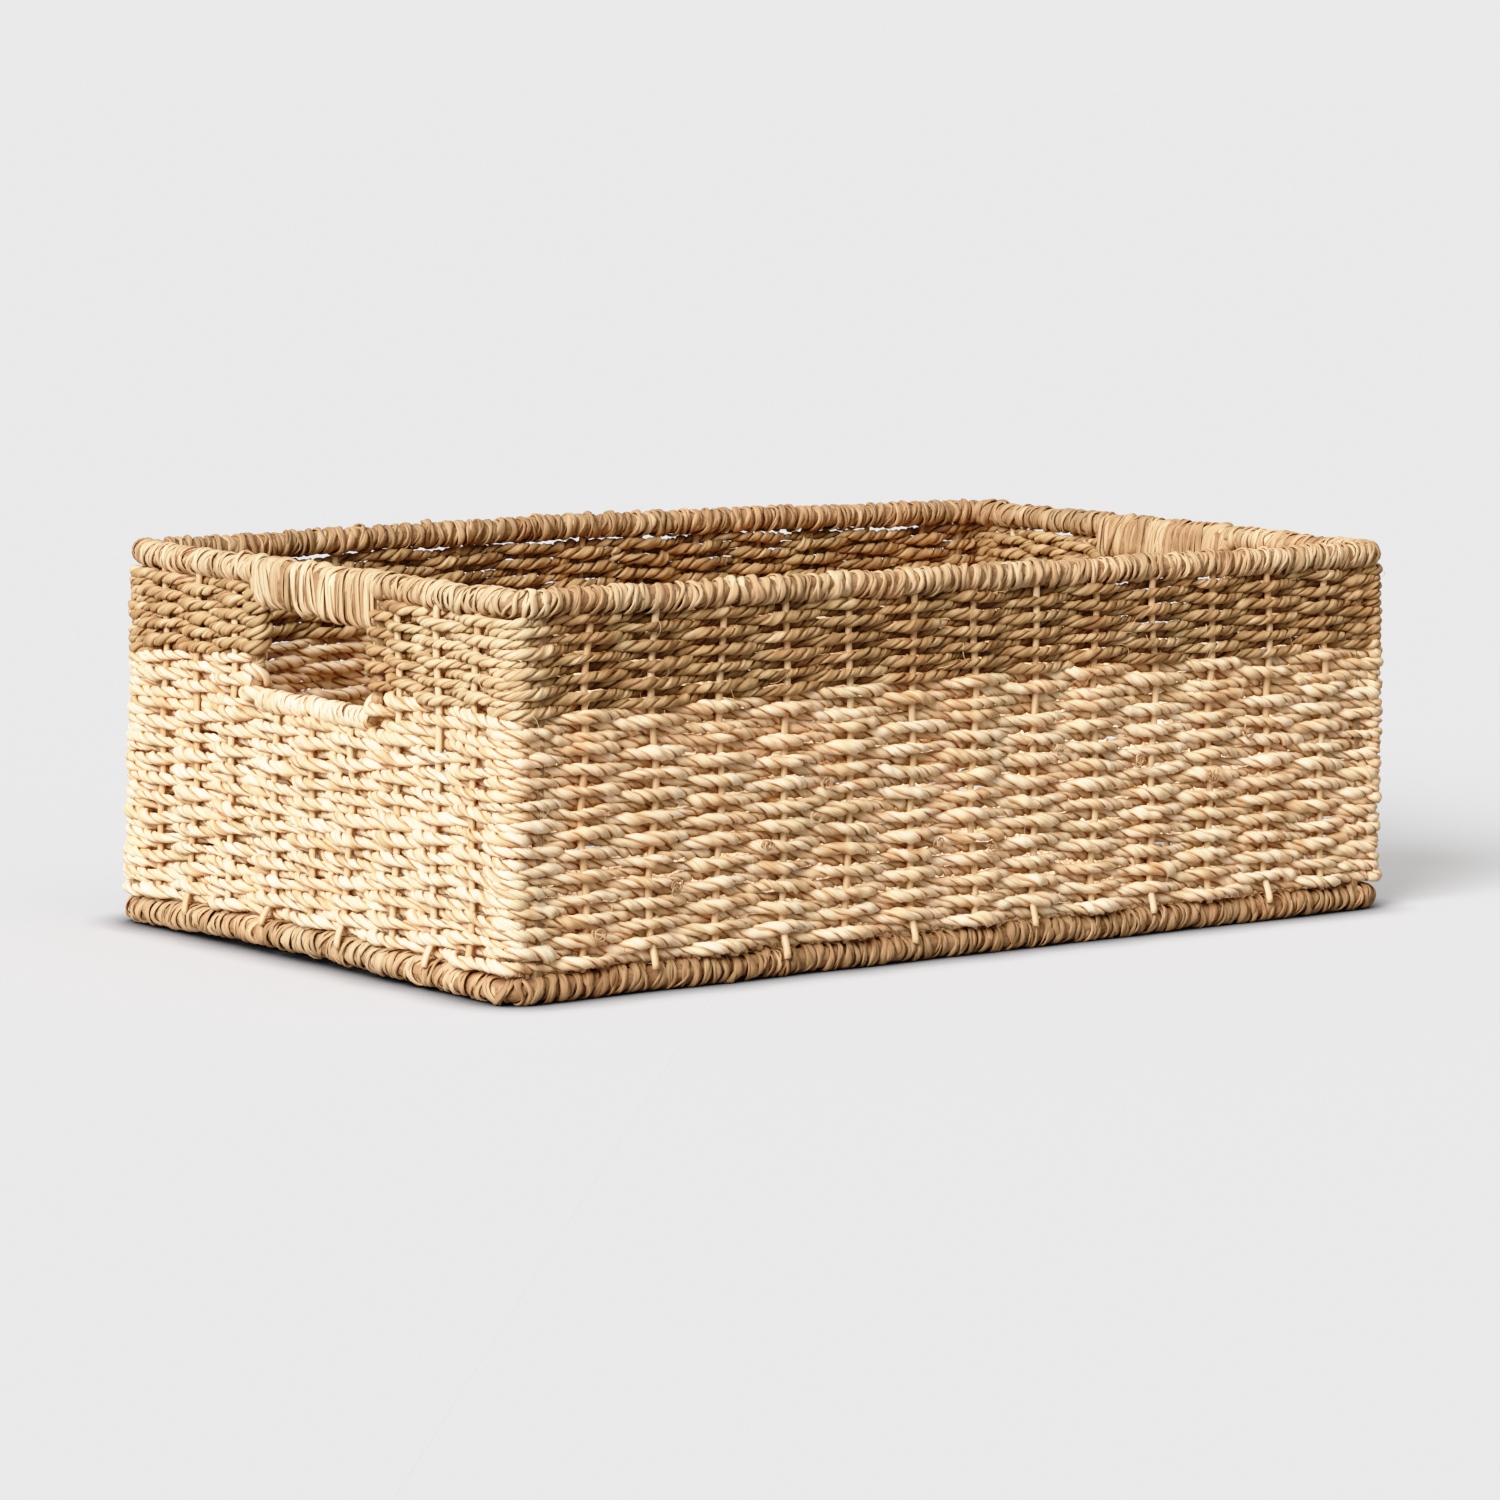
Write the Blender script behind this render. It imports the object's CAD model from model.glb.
"""Looks of the woven seagrass storage basket.

Every rope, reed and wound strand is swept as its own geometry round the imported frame, in metres, +Z up.
"""
import math
import zlib
from collections import namedtuple

import bpy
import numpy as np
from mathutils import Matrix, Vector


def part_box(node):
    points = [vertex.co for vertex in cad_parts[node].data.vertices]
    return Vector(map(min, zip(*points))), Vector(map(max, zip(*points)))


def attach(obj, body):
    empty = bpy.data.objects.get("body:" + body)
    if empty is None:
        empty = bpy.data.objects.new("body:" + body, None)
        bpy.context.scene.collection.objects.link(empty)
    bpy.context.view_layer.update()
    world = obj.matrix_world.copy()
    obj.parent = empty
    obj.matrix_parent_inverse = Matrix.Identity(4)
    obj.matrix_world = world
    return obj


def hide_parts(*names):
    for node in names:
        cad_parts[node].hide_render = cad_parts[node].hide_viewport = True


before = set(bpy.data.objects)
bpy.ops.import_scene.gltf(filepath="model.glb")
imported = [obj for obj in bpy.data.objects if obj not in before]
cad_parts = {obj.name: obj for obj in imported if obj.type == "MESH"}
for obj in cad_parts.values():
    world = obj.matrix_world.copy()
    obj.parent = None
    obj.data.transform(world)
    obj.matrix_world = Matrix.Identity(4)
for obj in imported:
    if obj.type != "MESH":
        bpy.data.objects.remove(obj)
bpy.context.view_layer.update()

# Sizes, most of them from the frame
WRAP_RADIUS = 0.006                     # outer radius of the strands wound on a ring wire
WIRE_CORNER = 0.008                     # corner radius of the wound strands; the wires inside turn at 0.012
WEAVE_CORNER = 0.0045                   # the ropes turn the corners more sharply
base_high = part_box("base_wrap")[1]
rim_low, rim_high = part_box("rim_wrap_front")
grip_low, grip_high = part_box("left_grip")
sill_low, sill_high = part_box("left_sill_wrap")
BASE_HALF = np.array([base_high.x - WRAP_RADIUS, base_high.y - WRAP_RADIUS])
RIM_HALF = np.array([rim_high.x - WRAP_RADIUS, -rim_low.y - WRAP_RADIUS])
BASE_Z = base_high.z - WRAP_RADIUS
RIM_Z = rim_high.z - WRAP_RADIUS
SILL_Z = (sill_low.z + sill_high.z) / 2
SILL_RADIUS = (sill_high.z - sill_low.z) / 2
GRIP_Z = (grip_low.z + grip_high.z) / 2
HOOP_HALF = 0.042                       # half distance between the upright wires of a hand hole

LONG_STAKES = 13                        # reeds on each long wall
END_STAKES = 9

# Rope: radius, and length of one full twist, whose sign is its hand
CREAM_RADIUS = 0.0025
TAN_RADIUS = {"front": 0.00215, "back": 0.00240}
FLOOR_ROPE_RADIUS = 0.0022
CREAM_TURN = -0.0172
TAN_TURN = 0.0146
FLOOR_TURN = CREAM_TURN * 0.85
PLY_OFFSET = 0.42                       # shares of the rope's radius: from its middle to a ply's middle,
PLY_THICK = 0.58                        # half a ply's thickness
PLY_BROAD = 0.86                        # and half its width
PLY_SIDES = 9
FOLD = 0.026                            # length in which a ply's folds go once round it
WEAVE_SWING = 0.0030                    # how far a rope stands off the middle surface as it passes a reed
POST_SWING = 0.0022
ROPE_STEP = 0.00115
FLOOR_STEP = 0.0019

# Rows of rope
WEAVE_LOW = 0.0124
WEAVE_HIGH = {"front": 0.1482, "back": 0.1474}
LOWER_ROWS = 21                         # rows that run all the way round
FRONT_CREAM_ROWS = 3                    # rows that turn back at the hand holes
BACK_CREAM_ROWS = 5
TAN_ROWS = 10
FIRST_SIDE = -1.0                       # the lowest row passes inside the first warp
BASE_ARCH = 0.0028                      # how far the hand-bent wires stand above a straight line
RIM_BOW = 0.0020

# Strands wound on the wires
STRAND_THICKNESS = 0.0010
WRAP_SEAT = WRAP_RADIUS - 0.0012        # radius at which the strands lie on a ring wire
HOOP_SEAT = 0.0019
FLOOR_GAP = 0.0001                      # the strands under the base stay this far above the floor
LINE_STEP = 0.0015

# Reeds and loose ends
REED_WIDTH = 0.0030
REED_THICKNESS = 0.0023
FLOOR_REED_WIDTH = 0.0029
FLOOR_REED_THICKNESS = 0.0027
CURLS = 11                              # places where cut rope ends curl out of the front wall
CURL_THREADS = 4
CURL_RADIUS = 0.00044
FIBRES = 240
FIBRE_RADIUS = 0.00013

UP = np.array([0.0, 0.0, 1.0])
FULL_TURN = 2 * math.pi

Rope = namedtuple("Rope", "radius turn material")


def seeded(name):
    return np.random.default_rng(zlib.crc32(name.encode()))


def running_total(steps):
    return np.concatenate([[0], np.cumsum(steps)])


def ring_angles(sides, start=0.0):
    return FULL_TURN * (np.arange(sides) + start) / sides


def wander(rng, along, span, wave, closed=False):
    """Smooth random waves of unit size, each about wave long, that meet over span when closed."""
    total = np.zeros(len(along))
    for _ in range(5):
        cycles = span / wave * rng.uniform(0.5, 1.6)
        if closed:
            cycles = max(1, round(cycles))
        total += np.sin(FULL_TURN * (cycles * along / span + rng.random()))
    return total / math.sqrt(2.5)


def smoothstep(value):
    value = np.clip(value, 0, 1)
    return value * value * (3 - 2 * value)


# The walls' middle surface

SHARE_X = (-1, -1, -1, 1, 1, 1, 1, -1, -1, -1)
SHARE_Y = (0, -1, -1, -1, -1, 1, 1, 1, 1, 0)
HEADING = np.radians((180, 180, 270, 270, 360, 360, 450, 450, 540, 540))


def wall_half(z):
    """Half the length and half the width of the walls' middle surface at height z."""
    share = (np.asarray(z) - BASE_Z) / (RIM_Z - BASE_Z)
    half_x = BASE_HALF[0] + share * (RIM_HALF[0] - BASE_HALF[0])
    half_y = BASE_HALF[1] + share * (RIM_HALF[1] - BASE_HALF[1])
    return half_x, half_y


def bow(u, low, high):
    """1 halfway between the places low and high, falling smoothly to 0 at both."""
    share = np.clip((u - low) / (high - low), 0, 1)
    return np.sin(math.pi * share) ** 1.5


class Circuit:
    """A way round the walls. Place u runs from the left end's middle, past the front, right and back."""

    def __init__(self, corner):
        straight = 2 * (BASE_HALF - corner)
        arc = math.pi * corner / 2
        legs = (straight[1] / 2, arc, straight[0], arc, straight[1], arc, straight[0], arc, straight[1] / 2)
        self.corner = corner
        self.breaks = running_total(legs)
        self.length = self.breaks[-1]
        self.corners = (self.breaks[1:8:2] + self.breaks[2:9:2]) / 2
        self.front = (self.breaks[2] + self.breaks[3]) / 2
        self.right = (self.breaks[4] + self.breaks[5]) / 2
        self.back = (self.breaks[6] + self.breaks[7]) / 2

    def at(self, u, z, out=0.0):
        """Points at place u and height z, standing out from the middle surface."""
        u = np.mod(u, self.length)
        heading = np.interp(u, self.breaks, HEADING)
        half_x, half_y = wall_half(z)
        reach = self.corner + out
        x = np.interp(u, self.breaks, SHARE_X) * (half_x - self.corner) + reach * np.cos(heading)
        y = np.interp(u, self.breaks, SHARE_Y) * (half_y - self.corner) + reach * np.sin(heading)
        return np.stack([x, y, z + self.bent(u, z)], axis=-1)

    def bent(self, u, z):
        """How far the base wire arches up on the left end, and the rim wire behind."""
        share = np.clip((z - BASE_Z) / (RIM_Z - BASE_Z), 0, 1)
        left = np.mod(u + self.length / 2, self.length)
        reach = self.breaks[1]
        arch = bow(left, self.length / 2 - 1.25 * reach, self.length / 2 + reach)
        behind = bow(u, self.breaks[6], self.breaks[7])
        return BASE_ARCH * arch * (1 - share) ** 2 + RIM_BOW * behind * share ** 2

    def place_of(self, x, y):
        """Place u of a point of the base loop on one of the straight walls."""
        if abs(abs(x) - BASE_HALF[0]) < abs(abs(y) - BASE_HALF[1]):
            return self.right + y if x > 0 else np.mod(-y, self.length)
        return self.front + x if y < 0 else self.back - x


WEAVE = Circuit(WEAVE_CORNER)
WIRES = Circuit(WIRE_CORNER)
LOOP = WEAVE.length
LEFT_FRONT_HOOP = HOOP_HALF
RIGHT_FRONT_HOOP = WEAVE.right - HOOP_HALF
RIGHT_BACK_HOOP = WEAVE.right + HOOP_HALF
LEFT_BACK_HOOP = LOOP - HOOP_HALF
CORNERS = WEAVE.corners
FRONT_MIDDLE = WEAVE.front
BACK_MIDDLE = WEAVE.back
POST_X = BASE_HALF[0] - WIRE_CORNER     # the ropes turn in here, 4 mm outside the frame's corner posts
POSTS = np.array([
    WEAVE.place_of(x, y) for x, y in (
        (-POST_X, -BASE_HALF[1]), (POST_X, -BASE_HALF[1]), (POST_X, BASE_HALF[1]), (-POST_X, BASE_HALF[1]),
    )
])


def heights(*pairs):
    """A height for every place u, from a few named places."""
    places, values = zip(*sorted(pairs))
    return lambda u: np.interp(np.mod(u, LOOP), places, values, period=LOOP)


lower_top = heights(
    (0, 0.0970), (LEFT_FRONT_HOOP, 0.0970), (CORNERS[0], 0.0990), (FRONT_MIDDLE, 0.1010),
    (CORNERS[1], 0.1000), (RIGHT_FRONT_HOOP, 0.0970), (RIGHT_BACK_HOOP, 0.0970),
    (CORNERS[2], 0.0950), (BACK_MIDDLE, 0.0950), (CORNERS[3], 0.0950), (LEFT_BACK_HOOP, 0.0970),
)
seam = heights(
    (LEFT_FRONT_HOOP, 0.1134), (CORNERS[0], 0.1102), (FRONT_MIDDLE, 0.1143), (CORNERS[1], 0.1135),
    (RIGHT_FRONT_HOOP, 0.1134), (RIGHT_BACK_HOOP, 0.1190), (CORNERS[2], 0.1130), (BACK_MIDDLE, 0.1140),
    (CORNERS[3], 0.1130), (LEFT_BACK_HOOP, 0.1210),
)


def stake_names():
    names = [f"{side}_stake_{n:02d}" for side in ("front", "back") for n in range(1, LONG_STAKES + 1)]
    return names + [f"{side}_stake_{n}" for side in ("left", "right") for n in range(1, END_STAKES + 1)]


def stake_places():
    """Each wall stake's place u."""
    places = {}
    for name in stake_names():
        low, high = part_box(name)
        middle = (low + high) / 2
        half_x, half_y = wall_half(middle.z)
        x = middle.x * BASE_HALF[0] / half_x
        y = middle.y * BASE_HALF[1] / half_y
        places[name] = float(WEAVE.place_of(x, y))
    return places


STAKES = stake_places()
WARPS = np.sort(np.concatenate([list(STAKES.values()), POSTS]))


# Meshes made of swept strands

class Bundle:
    """Collects swept tubes, then becomes one mesh."""

    def __init__(self):
        self.points = []
        self.strand = []
        self.tone = []
        self.depth = []
        self.quads = []
        self.triangles = []
        self.count = 0

    def tube(self, rings, along, tone, depth, closed=False):
        """rings: n x sides x 3 points; along, tone: n values; depth: sides values, 0 in a hollow.

        The strand attribute is a place on a straight strand, in millimetres, for streaks along it."""
        length, sides = rings.shape[:2]
        angle = ring_angles(sides)
        girth = 1.8
        strand = np.empty((length, sides, 3))
        strand[..., 0] = girth * np.cos(angle)
        strand[..., 1] = girth * np.sin(angle)
        strand[..., 2] = along[:, None] * 1000
        points = rings.reshape(-1, 3)
        step = np.arange(length if closed else length - 1)[:, None]
        side = np.arange(sides)[None, :]
        after = (step + 1) % length
        beside = (side + 1) % sides
        quads = np.stack(
            [step * sides + side, step * sides + beside, after * sides + beside, after * sides + side],
            axis=-1,
        ).reshape(-1, 4)
        first, second, third, fourth = (points[quads[:, corner]] - points[0] for corner in range(4))
        volume = np.sum(first * (np.cross(second, third) + np.cross(third, fourth)))
        inside_out = volume < 0
        if inside_out:
            quads = quads[:, ::-1]
        self.quads.append(quads + self.count)
        parts = [points]
        strands = [strand.reshape(-1, 3)]
        tones = [np.repeat(tone, sides)]
        depths = [np.broadcast_to(depth, (length, sides)).reshape(-1)]
        if not closed:
            ends = ((0, 1), (length - 1, -1))
            for number, (ring, turn) in enumerate(ends):
                centre = self.count + length * sides + number
                around = self.count + ring * sides + np.arange(sides)
                nearby = np.roll(around, -1)
                if (turn > 0) != inside_out:
                    around, nearby = nearby, around
                self.triangles.append(np.stack([around, nearby, np.full(sides, centre)], axis=-1))
                parts.append(rings[ring].mean(axis=0, keepdims=True))
                strands.append(strand[ring].mean(axis=0, keepdims=True))
                tones.append(tone[[ring]])
                depths.append(np.array([0.5]))
        self.points.append(np.concatenate(parts))
        self.strand.append(np.concatenate(strands))
        self.tone.append(np.concatenate(tones))
        self.depth.append(np.concatenate(depths))
        self.count += sum(len(part) for part in parts)

    def mesh(self, name):
        points = np.concatenate(self.points)
        quads = np.concatenate(self.quads)
        corners = [quads.reshape(-1)]
        sizes = [np.full(len(quads), 4)]
        if self.triangles:
            triangles = np.concatenate(self.triangles)
            corners.append(triangles.reshape(-1))
            sizes.append(np.full(len(triangles), 3))
        corners = np.concatenate(corners)
        sizes = np.concatenate(sizes)
        mesh = bpy.data.meshes.new(name)
        mesh.vertices.add(len(points))
        mesh.vertices.foreach_set("co", points.astype(np.float32).reshape(-1))
        mesh.loops.add(len(corners))
        mesh.loops.foreach_set("vertex_index", corners.astype(np.int32))
        mesh.polygons.add(len(sizes))
        starts = running_total(sizes)[:-1]
        mesh.polygons.foreach_set("loop_start", starts.astype(np.int32))
        mesh.polygons.foreach_set("use_smooth", np.ones(len(sizes), bool))
        mesh.update(calc_edges=True)
        strand = mesh.attributes.new("strand", "FLOAT_VECTOR", "POINT")
        strand.data.foreach_set("vector", np.concatenate(self.strand).astype(np.float32).reshape(-1))
        for label, values in (("tone", self.tone), ("depth", self.depth)):
            layer = mesh.attributes.new(label, "FLOAT", "POINT")
            layer.data.foreach_set("value", np.concatenate(values).astype(np.float32))
        return mesh


def add_piece(name, bundle, material, *nodes):
    """Makes the bundle a piece that stands for nodes of the frame, in its material's slot."""
    piece = bpy.data.objects.new(name, bundle.mesh(name))
    piece.data.materials.append(material)
    bpy.context.scene.collection.objects.link(piece)
    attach(piece, "root")
    if nodes:
        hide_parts(*nodes)
    return piece


def path_frame(centre, closed=False):
    """Step lengths, headings, outward and upright directions along a path."""
    if closed:
        ahead = np.roll(centre, -1, axis=0) - np.roll(centre, 1, axis=0)
        steps = np.linalg.norm(np.roll(centre, -1, axis=0) - centre, axis=1)
    else:
        ahead = np.gradient(centre, axis=0)
        steps = np.linalg.norm(np.diff(centre, axis=0), axis=1)
    ahead = ahead / np.linalg.norm(ahead, axis=1, keepdims=True)
    guide = UP if np.abs(ahead[:, 2]).mean() < 0.7 else np.array([0.0, 1.0, 0.0])
    upright = guide - ahead * (ahead @ guide)[:, None]
    upright = upright / np.linalg.norm(upright, axis=1, keepdims=True)
    outward = np.cross(ahead, upright)
    return steps, ahead, outward, upright


def rings_round(centre, first, second, along_first, along_second):
    """A ring round each point of centre, from offsets along its first and second direction."""
    return (
        centre[:, None, :]
        + along_first[..., None] * first[:, None, :]
        + along_second[..., None] * second[:, None, :]
    )


def twist_rope(
    bundle, centre, radius, turn, press, rng,
    closed=False, sides=PLY_SIDES, unruly=1.0, keep=None, pale=0.0,
):
    """Two plies twisted round each other along centre.

    press flattens the rope's height and pale lightens it. keep picks a stretch of rings, so that
    one rope can be shared out over several meshes."""
    steps, _, outward, upright = path_frame(centre, closed)
    along = running_total(steps)
    span = along[-1]
    if closed:
        along = along[:-1]

    def waves(length, size=1.0):
        return size * unruly * wander(rng, along, span, length, closed)

    thin = smoothstep((wander(rng, along, span, 0.10, closed) - 0.9) / 0.5) * unruly
    plumpness = 1 + waves(0.040, 0.11)
    girth = radius * plumpness * (1 - 0.16 * thin)
    rate = (1 + waves(0.03, 0.18)) * (1 + 0.2 * thin) / plumpness ** 1.5
    rate = np.clip(rate, 0.6, 1.35)
    uneven_plies = waves(0.05, 0.13)
    gaps = steps if closed else np.append(steps, steps[-1])
    twist = np.cumsum(rate * gaps) / abs(turn)
    if closed:
        twist *= round(twist[-1]) / twist[-1]
    phase = FULL_TURN * (twist * math.copysign(1, turn) + rng.random())
    angle = ring_angles(sides)
    press = np.broadcast_to(press, len(along))
    widen = 1 / np.sqrt(press)
    for ply in range(2):
        turned = phase + math.pi * ply
        away = (widen * np.cos(turned))[:, None] * outward + (press * np.sin(turned))[:, None] * upright
        across = -(widen * np.sin(turned))[:, None] * outward + (press * np.cos(turned))[:, None] * upright
        larger = 1 + (uneven_plies if ply else -uneven_plies)
        plump = larger * (1 + waves(0.010, 0.12))
        thick = girth * PLY_THICK * plump
        broad = girth * PLY_BROAD * larger * (1 + waves(0.012, 0.10))
        fold = rng.random() * 6 + FULL_TURN * along / FOLD + 1.2 * wander(rng, along, span, 0.02, closed)
        if closed:
            turns = round((fold[-1] - fold[0]) / FULL_TURN)
            fold = rng.random() * 6 + FULL_TURN * turns * along / span
        ridge = (
            1 + 0.060 * np.cos(3 * angle[None, :] + fold[:, None])
            + 0.045 * np.cos(2 * angle[None, :] - fold[:, None])
        )
        middle = centre + (PLY_OFFSET * girth)[:, None] * away
        along_away = ridge * thick[:, None] * np.cos(angle)
        along_across = ridge * broad[:, None] * np.sin(angle)
        rings = rings_round(middle, away, across, along_away, along_across)
        tone = (
            0.5 + pale + 0.09 * rng.normal()
            + 0.11 * wander(rng, along, span, 0.020, closed)
            + 0.07 * wander(rng, along, span, 0.12, closed)
        )
        depth = 0.5 + 0.5 * np.cos(angle)
        place = along + 5 * ply + rng.random()
        if keep is None:
            bundle.tube(rings, place, tone, depth, closed)
        else:
            bundle.tube(rings[keep], place[keep], tone[keep], depth)


# Weaving

def swing(u, row, places, first=1.0):
    """+1 where the row passes outside a warp, -1 inside, and a smooth crossing between."""
    order = np.interp(u, places, np.arange(len(places)))
    wave = np.cos(math.pi * order)
    straight = 1 - 2 * np.abs(np.mod(order, 2) - np.round(np.mod(order, 2) / 2) * 2)
    side = first if row % 2 == 0 else -first
    return side * (0.8 * wave + 0.2 * straight)


def turn_corners(u, weave):
    """Every rope hugs a corner from outside; those that pass inside its post dive in right behind it."""
    dive = 0.0025
    weave = weave.copy()
    stakes = np.array(list(STAKES.values()))
    for post, corner in zip(POSTS, CORNERS):
        toward = math.copysign(1, corner - post)
        arc = math.pi * WEAVE_CORNER / 4
        arc_near = abs(corner - post) - arc
        arc_far = abs(corner - post) + arc
        gap = np.mod(toward * (u - post) + LOOP / 2, LOOP) - LOOP / 2
        stake_gap = np.mod(toward * (stakes - post), LOOP).min()
        at_post = weave[np.abs(gap).argmin()]
        if at_post > 0:
            ahead = -np.cos(math.pi * smoothstep((stake_gap - gap) / (stake_gap - arc_far)))
        else:
            ahead = 2 * smoothstep(gap / (arc_near + dive)) - 1
            beyond = smoothstep((gap - arc_far) / (stake_gap - arc_far))
            ahead = np.where(gap > arc_far, 1 - 0.15 * beyond * (1 - beyond), ahead)
        weave = np.where((gap > 0) & (gap < stake_gap), ahead, weave)
    return weave


def near_post(u):
    """1 at a corner post, 0 away from it."""
    share = np.zeros(len(u))
    for post in POSTS:
        gap = np.abs(np.mod(u - post + LOOP / 2, LOOP) - LOOP / 2)
        share = np.maximum(share, 1 - smoothstep(gap / 0.015))
    return share


def stand_off(u, weave, swing_here):
    """How far a rope stands out; those that pass inside a corner post press against it."""
    near = near_post(u)
    reach = swing_here + (POST_SWING - swing_here) * near
    return weave * np.where(weave < 0, reach * (1 - 0.9 * near), reach)


rng_sheet = seeded("rows lie unevenly")
SHEET = [
    (
        rng_sheet.integers(5, 26),
        rng_sheet.uniform(-1, 1) * 55,
        rng_sheet.random(),
        rng_sheet.uniform(0.5, 1),
    )
    for _ in range(9)
]


def uneven(u, z):
    """A shared waviness of all rows, so that neighbours bend together."""
    total = np.zeros(len(u))
    for cycles, lean, start, size in SHEET:
        total += size * np.sin(FULL_TURN * (cycles * u / LOOP + lean * z + start))
    return 0.00026 * total


def rope_press(pitch, radius, off):
    """How far a rope is flattened: most where it crosses its neighbours, halfway between two warps."""
    tight = np.clip(pitch / (2 * radius) * 1.10, 0.6, 1)
    return tight + (1 - tight) * smoothstep(off / 0.6)


def wrap_warps(places):
    """The warps with one extra at each end, so that a closed row has neighbours everywhere."""
    return np.concatenate([[places[-1] - LOOP], places, [places[0] + LOOP]])


def closed_row(bundle, row):
    """One cream row all the way round, between the base wrap and the hand holes."""
    rng = seeded(f"lower row {row}")
    count = int(LOOP / ROPE_STEP)
    start = BACK_MIDDLE + rng.uniform(-0.15, 0.15)
    u = np.mod(start + LOOP * np.arange(count) / count, LOOP)
    weave = turn_corners(u, swing(u, row, wrap_warps(WARPS), FIRST_SIDE))
    pitch = (lower_top(u) - WEAVE_LOW) / LOWER_ROWS
    z = WEAVE_LOW + (row + 0.5) * pitch
    along = LOOP * np.arange(count) / count
    lift = 0.00030 * wander(rng, along, LOOP, 0.05, True)
    fade = min(1.0, (row + 0.5) / 3) * min(1.0, (LOWER_ROWS - row) / 3)
    z = z + uneven(u, z) * fade + lift
    out = stand_off(u, weave, WEAVE_SWING)
    if row == 0:
        ahead = smoothstep((weave + 0.2) / 1.2)
        out = np.where(out < 0, 0.45 * out, out) + 0.0019 * ahead * (1 - near_post(u))
    if row == 1:
        z = z + 0.0009 * smoothstep(weave)
    out = out + 0.0003 * wander(rng, along, LOOP, 0.04, True)
    radius = CREAM_RADIUS * rng.uniform(0.94, 1.06)
    press = rope_press(pitch, radius, np.abs(weave))
    turn = CREAM_TURN * rng.uniform(0.85, 1.2)
    twist_rope(bundle, WEAVE.at(u, z, out), radius, turn, press, rng, closed=True)


def band_path(rows, start, end, level, first, rng):
    """A rope that weaves from one hand hole to the other and back, turning round the upright wires."""
    inner = WARPS[(WARPS > start) & (WARPS < end)]
    places = np.concatenate([[start], inner, [end]])
    count = int((end - start) / ROPE_STEP)
    bend = WEAVE_SWING + 0.0004
    turn_count = 11
    parts = []
    marks = [0]
    for row in range(rows):
        share = np.arange(count) / (count - 1)
        u = start + (end - start) * share
        if row % 2:
            u = u[::-1]
        weave = turn_corners(u, swing(u, row, places, first))
        z = level(row, u)
        edge = smoothstep(np.minimum(u - start, end - u) / 0.02)
        z = z + uneven(u, z) * edge
        out = stand_off(u, weave, bend + (WEAVE_SWING - bend) * edge)
        out = out + 0.0003 * edge * wander(rng, u, end - start, 0.04)
        parts.append((u, z, out, np.abs(weave)))
        if row < rows - 1:
            side = weave[-1]
            angle = math.pi * (np.arange(turn_count) + 1) / (turn_count + 1)
            beyond = bend * np.sin(angle) * (1 if row % 2 == 0 else -1)
            next_z = level(row + 1, u[-1:])[0]
            rise = z[-1] + (next_z - z[-1]) * (1 - np.cos(angle)) / 2
            parts.append((u[-1] + beyond, rise, side * bend * np.cos(angle), np.ones(turn_count)))
        marks.append(sum(len(part[0]) for part in parts))
    u, z, out, weave = (np.concatenate([part[i] for part in parts]) for i in range(4))
    return u, z, out, weave, marks


def shared_out(count, marks, rows, share):
    """Slices of a rope's count points, which give each of share meshes its part of the rows.

    marks are the points where the rows begin. Each slice meets the next at one point."""
    cuts = [marks[round(rows * part / share)] for part in range(share + 1)]
    return [slice(low, min(high + 1, count)) for low, high in zip(cuts, cuts[1:])]


def even_rows(low, high, rows):
    """The height of each row and the rows' pitch, between the heights low and high at place u."""
    def pitch(u):
        return (high(u) - low(u)) / rows

    def level(row, u):
        return low(u) + (row + 0.5) * pitch(u)

    return level, pitch


def weave_band(name, node, rope, rows, start, end, low, high, first, share=1, pale=np.zeros_like):
    """Builds rows between the heights low and high as share meshes, which split one long rope."""
    level, pitch = even_rows(low, high, rows)
    u, z, out, weave, marks = band_path(rows, start, end, level, first, seeded(name))
    centre = WEAVE.at(u, z, out)
    press = rope_press(pitch(u), rope.radius, weave)
    for number, keep in enumerate(shared_out(len(u), marks, rows, share), start=1):
        bundle = Bundle()
        twist_rope(bundle, centre, rope.radius, rope.turn, press, seeded(name), keep=keep, pale=pale(u))
        label = name if share == 1 else f"{name}_{number}"
        add_piece(label, bundle, rope.material, node)


def pale_end(u):
    """The tan ropes are paler on the left end, most of all beside the near corner."""
    u = np.mod(u, LOOP)
    near = smoothstep((u - 0.045) / 0.035) * (1 - smoothstep((u - CORNERS[0]) / 0.02))
    return 0.34 * near + 0.18 * smoothstep((u - LEFT_BACK_HOOP + 0.10) / 0.02)


def build_lower_rows(material):
    group = 3
    for number in range(LOWER_ROWS // group):
        bundle = Bundle()
        for row in range(number * group, (number + 1) * group):
            closed_row(bundle, row)
        add_piece(f"lower_rope_rows_{number + 1}", bundle, material, "lower_weave")


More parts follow.
